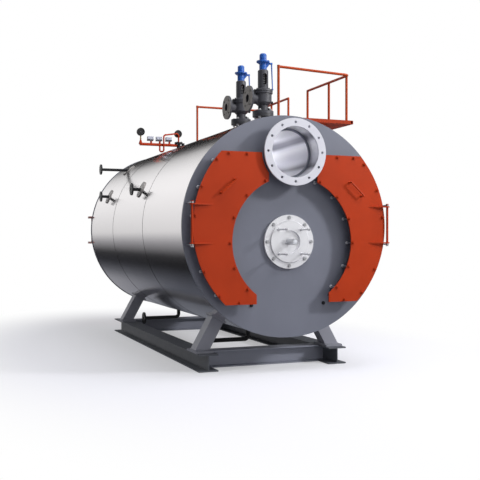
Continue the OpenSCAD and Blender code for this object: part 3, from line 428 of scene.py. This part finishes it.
def fastener(name, across, thick, thread=0.0, beyond=0.0):
    """A washer, a hexagon and, where there is one, a thread's end with its chamfer."""
    washer_t = across * 0.1
    parts = [
        turned(name + "_washer", [(across * 0.6, 0), (across * 0.62, washer_t * 0.4), (across * 0.6, washer_t)], 20),
        hexagon(name + "_nut", across, thick, washer_t),
    ]
    if thread:
        top = washer_t + thick + beyond
        parts.append(turned(name + "_thread", [(thread, 0), (thread, top - 2), (thread - 2, top)], 12))
    return join(name, parts)


def polar(radius, degrees):
    """A point at a radius and an angle from the first of two axes."""
    return radius * math.cos(math.radians(degrees)), radius * math.sin(math.radians(degrees))


def around(count, radius, first=0.0):
    """Points spread evenly on a circle, from a first angle on."""
    for i in range(count):
        yield polar(radius, first + i * 360 / count)


def weld_bead(name, pipe, foot, bulge, height, sides):
    """A ring of weld round a pipe: how far its foot and its bulge stand out, the bulge's height and its own."""
    out, up = bulge
    rings = [(pipe, 0), (pipe + foot, 0), (pipe + out, up), (pipe, height), (pipe, 0)]
    return turned(name, rings, sides, True)


def block(name, size, shift=None, top=None, bevel=0.0, segments=1):
    """A block, in metres: resized, shifted, its upper face narrowed, and its edges bevelled."""
    made = begin(bpy.ops.mesh.primitive_cube_add, name, size=1)
    bpy.ops.object.mode_set(mode="EDIT")
    bpy.ops.transform.resize(value=size)
    if shift:
        bpy.ops.transform.translate(value=shift)
    if top:
        bpy.ops.mesh.select_all(action="DESELECT")
        bpy.ops.object.mode_set(mode="OBJECT")
        for corner in made.data.vertices:
            corner.select = corner.co.z > 0
        bpy.ops.object.mode_set(mode="EDIT")
        bpy.ops.transform.resize(value=(*top, 1), center_override=(0, 0, 0))
        bpy.ops.mesh.select_all(action="SELECT")
    if bevel:
        bpy.ops.mesh.bevel(offset=bevel, segments=segments)
    bpy.ops.object.mode_set(mode="OBJECT")
    return made


# ---- front: burner plate, doors and hinges

bolt_head = fastener("burner_bolt", across=30, thick=13)
places = [place(x, BURNER_FACE_Y, z + BURNER_Z, FRONT, 30) for x, z in around(8, radius=238, first=90)]
finish(spread(bolt_head, "burner_plate_bolts", places), BRIGHT)

stud_nut = fastener("stud_nut", across=24, thick=13)
places = [
    place(x, y, z + BURNER_Z, FRONT, 10 * x)
    for x in STUD_OFFSETS
    for z in STUD_OFFSETS
    for y in STUD_NUTS_Y
]
finish(spread(stud_nut, "burner_stud_nuts", places), ZINC)

glass = turned("glass", [(23.6, 163), (23.6, 166), (21, 167.5), (8, 168)], 32)
finish(spread(glass, "sight_glass", [place(0, 0, BURNER_Z, FRONT)]), GLASS)

weld = weld_bead("flue_weld", 250, foot=13, bulge=(8, 6), height=12, sides=64)
finish(spread(weld, "flue_stub_weld", [place(0, 0, FLUE_Z, FRONT)]), FRAME_GREY)


def clamp_places():
    """The right-hand door's clamps, as (x, z)."""
    for degrees in (38.5, 21.5, 5.5, -25.3, -41):
        yield polar(DOOR_R - CLAMP_INSET, degrees)
    for degrees in (63.5, 42.5, 20.5, -1, -22, -43.5):
        x, z = polar(DOOR_INNER_R + CLAMP_INSET, degrees)
        yield x, BURNER_Z + z
    for x in (485.2, 670.2):
        yield x, 690
    yield 562.9, -730


# each nut is turned by another angle, as a spanner leaves it
lock_nut = fastener("lock_nut", across=26, thick=13)
places = [place(side * x, LOCK_NUTS_Y, z, FRONT, 17 * x) for side in (-1, 1) for x, z in clamp_places()]
finish(spread(lock_nut, "clamp_lock_nuts", places), ZINC)

for side, word in ((-1, "left"), (1, "right")):
    pin_nut = hexagon("pin_nut", across=24, thick=10)
    x, y, z = PIN_FOOT
    finish(spread(pin_nut, word + "_pin_nut", [place(side * x, y, z, DOWN)]), ZINC, word + "_door")
    weld = weld_bead("handle_weld", 7.5, foot=6.5, bulge=(4.5, 3), height=7, sides=16)
    x, y, z = HANDLE
    feet = [polar(along, HANDLE_LEAN) for along in (-HANDLE_FOOT, HANDLE_FOOT)]
    places = [place(side * (x + right), y, z - down, FRONT) for right, down in feet]
    finish(spread(weld, word + "_handle_welds", places), ORANGE, word + "_door")

# ---- rear doors, closed with the front ones' clamps and handles


def lifting_handle(name, radius, rise, length, bend):
    """A round bar bent twice: up from one foot, across, and down to the other."""
    made = begin(bpy.ops.mesh.primitive_circle_add, name, vertices=12, radius=radius / 1000, fill_type="NGON")
    half, rise, bend = length / 2000, rise / 1000, bend / 1000
    bpy.ops.object.mode_set(mode="EDIT")
    bpy.ops.transform.translate(value=(-half, 0, 0))
    bpy.ops.mesh.extrude_region_move(TRANSFORM_OT_translate={"value": (0, 0, rise - bend)})
    bpy.ops.mesh.spin(steps=6, angle=math.pi / 2, center=(bend - half, 0, rise - bend), axis=(0, 1, 0))
    bpy.ops.mesh.extrude_region_move(TRANSFORM_OT_translate={"value": (2 * (half - bend), 0, 0)})
    bpy.ops.mesh.spin(steps=6, angle=math.pi / 2, center=(half - bend, 0, rise - bend), axis=(0, 1, 0))
    bpy.ops.mesh.extrude_region_move(TRANSFORM_OT_translate={"value": (0, 0, bend - rise)})
    bpy.ops.mesh.select_all(action="SELECT")
    bpy.ops.mesh.normals_make_consistent(inside=False)
    bpy.ops.object.mode_set(mode="OBJECT")
    return made


rear_clamp = fastener("rear_clamp", across=26, thick=13, thread=8, beyond=9)
places = []
for degrees in (-78, -58, -38, -19, 19, 38, 58, 78):
    x, z = polar(REAR_CLAMPS_R, degrees)
    places += [place(side * x, REAR_FACE_Y, z, BACK) for side in (-1, 1)]
for z in (-720, -360, 0, 360, 720):
    places += [place(side * REAR_CLAMPS_X, REAR_FACE_Y, z, BACK) for side in (-1, 1)]
finish(spread(rear_clamp, "rear_door_clamps", places), ORANGE)

handle = lifting_handle("rear_handle", radius=8, rise=52, length=206, bend=16)
places = [
    place(side * REAR_HANDLE_X, REAR_FACE_Y, REAR_HANDLE_Z, BACK, side * HANDLE_LEAN)
    for side in (-1, 1)
]
finish(spread(handle, "rear_door_handles", places), ORANGE)

# ---- safety valves


def coil(name, radius, wire, low, high, turns):
    """A round-wire compression spring about Z, wound by a screw modifier."""
    made = begin(bpy.ops.mesh.primitive_circle_add, name, vertices=8, radius=wire / 1000)
    bpy.ops.object.mode_set(mode="EDIT")
    bpy.ops.transform.rotate(value=math.radians(90), orient_axis="X", center_override=(0, 0, 0))
    bpy.ops.transform.translate(value=(radius / 1000, 0, low / 1000))
    bpy.ops.object.mode_set(mode="OBJECT")
    wind = made.modifiers.new("wind", "SCREW")
    wind.angle = 2 * math.pi
    wind.screw_offset = (high - low) / turns / 1000
    wind.iterations = turns
    wind.steps = wind.render_steps = 20
    bpy.ops.object.modifier_apply(modifier="wind")
    bpy.ops.object.mode_set(mode="EDIT")
    bpy.ops.mesh.select_all(action="SELECT")
    bpy.ops.mesh.remove_doubles(threshold=0.00001)
    bpy.ops.mesh.select_all(action="DESELECT")
    bpy.ops.mesh.select_non_manifold()
    bpy.ops.mesh.edge_face_add()
    bpy.ops.mesh.select_all(action="SELECT")
    bpy.ops.mesh.normals_make_consistent(inside=False)
    bpy.ops.object.mode_set(mode="OBJECT")
    return made


spring = coil("spring", radius=31, wire=5, low=298, high=448, turns=8)
places = [place(0, y, VALVE_SEAT_Z) for y in VALVES_Y]
finish(spread(spring, "valve_springs", places), SPRING, smooth=80)

flange_nut = fastener("flange_nut", across=24, thick=14, thread=8, beyond=5)
places = [
    place(x, y + dy, z, turn)
    for y in VALVES_Y
    for x, dy in around(4, radius=88, first=45)
    for z, turn in ((INLET_TOP_Z, None), (INLET_UNDER_Z, DOWN))
]
finish(spread(flange_nut, "valve_inlet_bolts", places), BRIGHT)

cover_nut = fastener("cover_nut", across=14, thick=9, thread=5, beyond=4)
places = [place(x, y + dy, COVER_TOP_Z) for y in VALVES_Y for x, dy in around(8, radius=90, first=22.5)]
finish(spread(cover_nut, "valve_cover_bolts", places), CASTING)

raised_face = turned("raised_face", [(43.5, 0), (43.5, 3), (66, 3), (69, 0), (43.5, 0)], 40, True)
places = [place(OUTLET_FACE_X, y, OUTLET_Z, LEFT) for y in VALVES_Y]
finish(spread(raised_face, "outlet_raised_faces", places), MACHINED)

# painted shade: black rings round the outlet flange's bolt holes, so that the holes' dark reads wider
chamfer = turned("chamfer", [(9.5, 0), (13, 0.2), (13, 1), (9.5, 1), (9.5, 0)], 20, True)
places = [
    place(OUTLET_FACE_X, y + dy, OUTLET_Z + dz, LEFT)
    for y in VALVES_Y
    for dy, dz in around(4, radius=100, first=45)
]
finish(spread(chamfer, "outlet_hole_painted_shade", places), BLACK)

plug = turned("plug", [(9, -8), (9, 4), (15, 4), (16, 7), (16, 17), (14, 21), (8, 23)], 16)
places = [place(x, y, z, RIGHT) for y in VALVES_Y for x, z in VALVE_PLUGS_XZ]
finish(spread(plug, "valve_drain_plugs", places), BLACK)

# ---- instruments

bezel = turned("bezel", [(54, 0), (55, 3), (53, 6), (47.5, 6), (47.5, 0), (54, 0)], 40, True)
places = [place(x, y, z, FRONT) for x, y, z in GAUGES]
finish(spread(bezel, "gauge_bezels", places), GAUGE)

# eleven strokes and a pointer on each dial, which is sunk in its case
mark = block("mark", (0.0014, 0.007, 0.0012), (0, 0.037, 0.0006), bevel=0.0003)
places = [place(x, y + DIAL_SUNK, z, FRONT, 135 - 27 * i) for x, y, z in GAUGES for i in range(11)]
marks = spread(mark, "marks", places)
needle = turned("needle", [(1.4, 0), (1.4, 1)], 4)
bpy.ops.object.mode_set(mode="EDIT")
bpy.ops.transform.resize(value=(1, 14, 1), center_override=(0, 0, 0))
bpy.ops.transform.translate(value=(0, 0.012, 0.001))
bpy.ops.object.mode_set(mode="OBJECT")
hub = turned("hub", [(5, 0), (5, 2.5), (3.5, 3.2)], 16)
pointer = join("pointer", [needle, hub])
places = [place(x, y + DIAL_SUNK, z, FRONT, turn) for (x, y, z), turn in zip(GAUGES, (60, 30))]
dials = join("gauge_dial_marks", [marks, spread(pointer, "pointers", places)])
finish(dials, DIAL)

# the stem's heights are counted from the shell's axis
stem = turned("stem", [(9, 1263), (13, 1264), (13, 1276), (9.5, 1279), (9.5, 1300), (11, 1302), (11, 1312)], 6)
finish(spread(stem, "gauge_stem", [place(GAUGES[0][0], HEADER_Y, 0)]), BRASS)

base = block("switch_base", (0.084, 0.064, 0.02), bevel=0.003, segments=2)
places = [place(x, HEADER_Y, SWITCH_FOOT_Z) for x in SWITCHES_X]
finish(spread(base, "switch_bases", places), SWITCH_BASE)

stop_bolt = fastener("stop_bolt", across=14, thick=8)
places = [
    place(x, HEADER_Y + dy, z, turn)
    for x, dy in around(4, radius=44, first=45)
    for z, turn in ((STOP_TOP_Z, None), (STOP_UNDER_Z, DOWN))
]
finish(spread(stop_bolt, "stop_valve_bolts", places), BRIGHT)

# ---- welds behind the pipe flanges and round the feet of the legs

bead = weld_bead("bead", 18.5, foot=9.5, bulge=(5.5, 5), height=9, sides=24)
places = [place(NOZZLE_FLANGE_X, y, z, RIGHT) for y, z in SIDE_NOZZLES_YZ]
finish(spread(bead, "side_nozzle_welds", places), BLACK)

bead = weld_bead("bead", 23.5, foot=9.5, bulge=(5.5, 5), height=9, sides=24)
places = [place(BLOWDOWN_FLANGE_X, y, BLOWDOWN_Z, RIGHT) for y in BLOWDOWNS_Y]
finish(spread(bead, "blowdown_welds", places), BLACK)

bead = block("bead", (0.169, 0.172, 0.009), top=(154 / 169, 157 / 172), bevel=0.002)
places = [place(side * LEGS_X, y, LEG_WELD_Z) for side in (-1, 1) for y in LEGS_Y]
finish(spread(bead, "leg_foot_welds", places), LEG)

# ---- cover discs of the side nozzles: four screws each, square to the sheet

screw = turned("screw", [(7, -1), (7, 2.5), (5, 4), (2.5, 4.4)], 10)
face_r = CLADDING_R + ROSETTE_T
places = []
for y, z in SIDE_NOZZLES_YZ:
    lean = math.asin(z / CLADDING_R)
    out = Matrix.Translation(at(-face_r * math.cos(lean), y, face_r * math.sin(lean)))
    tilt = Matrix.Rotation(lean - math.pi / 2, 4, "Y")
    circle = around(4, radius=85, first=45)
    places += [out @ tilt @ Matrix.Translation((x / 1000, dy / 1000, 0)) for x, dy in circle]
finish(spread(screw, "rosette_screws", places), BRIGHT)

# ---- walkway: tread plate and welded post feet

lozenge = block("lozenge", (0.036, 0.011, 0.002), top=(0.7, 0.4))
places = []
for i in range(TREAD_COUNT[0]):
    for j in range(TREAD_COUNT[1]):
        x, y = TREAD_START[0] + TREAD_PITCH[0] * i, TREAD_START[1] + TREAD_PITCH[1] * j
        # none under a post's foot, and each of the others 0.2 mm deep in the deck
        if all(math.hypot(x - POST_X, y - post) > POST_CLEARANCE for post in POSTS_Y):
            places.append(place(x, y, DECK_TOP + 0.8, None, 45 if (i + j) % 2 else -45))
finish(spread(lozenge, "deck_tread", places), DECK)

weld = weld_bead("post_weld", 13, foot=8, bulge=(5.5, 4), height=8, sides=16)
places = [place(POST_X, y, DECK_TOP) for y in POSTS_Y]
places += [place(x, y, z) for x, y, z in RAIL_ENDS]
finish(spread(weld, "post_welds", places), ORANGE)


# ---- studio


def studio():
    """A pale floor, a white surround, and soft light from above, from the right and from behind."""
    bpy.ops.object.select_all(action="DESELECT")
    bpy.ops.mesh.primitive_plane_add(size=160, location=(0, 0, -0.002))
    floor = bpy.context.object
    floor.name = "studio_floor"
    made, tree, bsdf, where = new_material("matt_studio_floor", "#EDEDF2", 0.0, 0.9)
    # for the camera the floor is paler, and fades to plain white away from the shadow
    path = add_node(tree, "ShaderNodeLightPath").outputs["Is Camera Ray"]
    tone = add_node(tree, "ShaderNodeMix", {"data_type": "RGBA", 6: rgb("#9C9CA2"), 7: rgb("#EEEEF9")}, i0=path)
    connect(bsdf, Base_Color=tone.outputs[2])
    glow = add_node(tree, "ShaderNodeEmission", {"Color": (1, 1, 1, 1), "Strength": 1.0})
    shift = add_node(tree, "ShaderNodeMapping", {"Location": (0.3, 0, 0), "Scale": (1, 0.6, 1)}, Vector=where)
    away = add_node(tree, "ShaderNodeVectorMath", {"operation": "LENGTH"}, i0=shift)
    reach = {"interpolation_type": "SMOOTHSTEP", "From Min": 1.8, "From Max": 3.6, "To Min": 0.38}
    fade = add_node(tree, "ShaderNodeMapRange", reach, Value=away.outputs["Value"])
    both = add_node(tree, "ShaderNodeMath", {"operation": "MULTIPLY"}, i0=fade, i1=path)
    mixed = add_node(tree, "ShaderNodeMixShader", i0=both, i1=bsdf.outputs["BSDF"], i2=glow)
    connect(tree.nodes["Material Output"], Surface=mixed)
    floor.data.materials.append(made)
    # polished sheet shows the surround's own soft horizon in place of this floor
    floor.visible_glossy = False

    world = bpy.data.worlds.new("studio")
    bpy.context.scene.world = world
    world.use_nodes = True
    tree = world.node_tree
    tree.nodes.clear()
    path = add_node(tree, "ShaderNodeLightPath")
    direction = add_node(tree, "ShaderNodeTexCoord").outputs["Generated"]
    split = add_node(tree, "ShaderNodeSeparateXYZ", Vector=direction)
    # the hall that polished sheet shows along the shell: bright sky panels on the left, a dark horizon
    # and a grey floor, by the angle round the shell's axis from the right, over the floor, the left and the sky
    flipped = add_node(tree, "ShaderNodeMath", {"operation": "MULTIPLY", 1: -1.0}, i0=split.outputs["X"])
    angle = add_node(tree, "ShaderNodeMath", {"operation": "ARCTAN2"}, i0=split.outputs["Z"], i1=flipped)
    turn = add_node(tree, "ShaderNodeMapRange", {"From Min": -math.pi, "From Max": math.pi}, Value=angle)
    near_tones = [
        (0.0, 0.5), (0.03, 0.16), (0.05, "#585A60"), (0.11, "#71747C"), (0.2, "#60636B"),
        (0.28, "#4B4E57"), (0.36, "#161617"), (0.4, "#2B2B2D"), (0.45, "#9A9A9D"), (0.49, 0.76),
        (0.58, 0.9), (0.64, 1.0), (0.7, 0.97), (0.75, 0.76), (0.79, 0.5), (0.815, 0.1), (0.84, 0.0),
        (0.92, 0.0), (0.955, 0.3), (1.0, 0.5),
    ]
    far_tones = [
        (0.0, 0.55), (0.04, "#A4A4AA"), (0.15, "#A8A8AE"), (0.25, "#9C9DA3"), (0.3, "#5F6167"),
        (0.35, "#27282D"), (0.4, "#2A2A2C"), (0.45, "#9A9A9D"), (0.49, 0.68), (0.6, 0.86), (0.68, 0.92),
        (0.74, 0.78), (0.78, 0.6), (0.82, 0.24), (0.85, 0.02), (0.9, 0.02), (0.94, 0.35), (1.0, 0.55),
    ]
    near = add_node(tree, "ShaderNodeValToRGB", Fac=turn, stops=near_tones)
    far = add_node(tree, "ShaderNodeValToRGB", Fac=turn, stops=far_tones)
    along = split.outputs["Y"]
    steep = add_node(tree, "ShaderNodeMapRange", {"From Min": 0.955, "From Max": 0.98}, Value=along)
    hall = add_node(tree, "ShaderNodeMix", {"data_type": "RGBA"}, i0=steep, i6=near, i7=far)
    # the room that the front and the fittings show: a grey floor under pale walls, by height
    level = {"From Min": -1.0, "From Max": 1.0}
    height = add_node(tree, "ShaderNodeMapRange", level, Value=split.outputs["Z"])
    room_tones = [(0.0, 0.2), (0.45, 0.4), (0.55, 0.7), (1.0, 0.95)]
    room = add_node(tree, "ShaderNodeValToRGB", Fac=height, stops=room_tones)
    # a dark curtain closes the hall on the left
    drawn = {"From Min": -0.75, "From Max": -0.35, "To Min": 0.12}
    curtain = add_node(tree, "ShaderNodeMapRange", drawn, Value=split.outputs["X"])
    behind = add_node(tree, "ShaderNodeMapRange", {"From Min": 0.1, "From Max": 0.5}, Value=along)
    seen = add_node(tree, "ShaderNodeBackground", {"Color": (1, 1, 1, 1), "Strength": 1.0})
    lit = add_node(tree, "ShaderNodeBackground", {"Color": (0.95, 0.97, 1, 1), "Strength": 0.3})
    hall_light = add_node(tree, "ShaderNodeBackground", Color=hall.outputs[2])
    room_light = add_node(tree, "ShaderNodeBackground", Color=room.outputs["Color"], Strength=curtain)
    gloss = add_node(tree, "ShaderNodeMixShader", i0=behind, i1=room_light, i2=hall_light)
    unseen = add_node(tree, "ShaderNodeMixShader", i0=path.outputs["Is Glossy Ray"], i1=lit, i2=gloss)
    surround = add_node(tree, "ShaderNodeMixShader", i0=path.outputs["Is Camera Ray"], i1=unseen, i2=seen)
    add_node(tree, "ShaderNodeOutputWorld", Surface=surround)

    lamps = [
        # name, place, aim, size in metres, power in watts
        ("overhead", (1.5, -4.2, 8.5), (0, -0.5, 1.0), 6.0, 480),
        ("right_key", (8.0, -8.5, 6.5), (0, -1.5, 1.3), 1.6, 740),
        ("front_fill", (1.5, -12.0, 2.5), (0, -1.5, 0.8), 5.0, 130),
        ("left_fill", (-9.0, -3.0, 4.5), (0, -0.5, 1.4), 6.0, 20),
        ("flue_lamp", (0.0, -0.8, 2.174), (0, -3.0, 2.174), 0.28, 4.4),
        ("rear_fill", (-2.0, 11.0, 4.0), (0, 2.0, 1.3), 5.0, 150),
    ]
    for name, spot, aim, size, power in lamps:
        data = bpy.data.lights.new(name, "AREA")
        data.shape = "SQUARE"
        data.size = size
        data.energy = power
        lamp = bpy.data.objects.new(name, data)
        lamp.location = spot
        lamp.rotation_euler = (Vector(aim) - Vector(spot)).to_track_quat("-Z", "Y").to_euler()
        # mirrors show the hall alone; the key lamp keeps its highlight on paint
        lamp.visible_glossy = name == "right_key"
        lamp.visible_camera = False
        bpy.context.scene.collection.objects.link(lamp)


def camera():
    """The photograph's place and lens, taking the image as 480 by 480."""
    data = bpy.data.cameras.new("camera")
    data.lens = 59.4
    data.sensor_width = 36
    made = bpy.data.objects.new("camera", data)
    made.location = (-3.3226, -9.3113, 1.3435)
    made.rotation_euler = (math.radians(90 - 0.2), 0, math.radians(-21.517))
    bpy.context.scene.collection.objects.link(made)
    bpy.context.scene.camera = made


studio()
camera()
bpy.context.scene.view_settings.view_transform = "Standard"
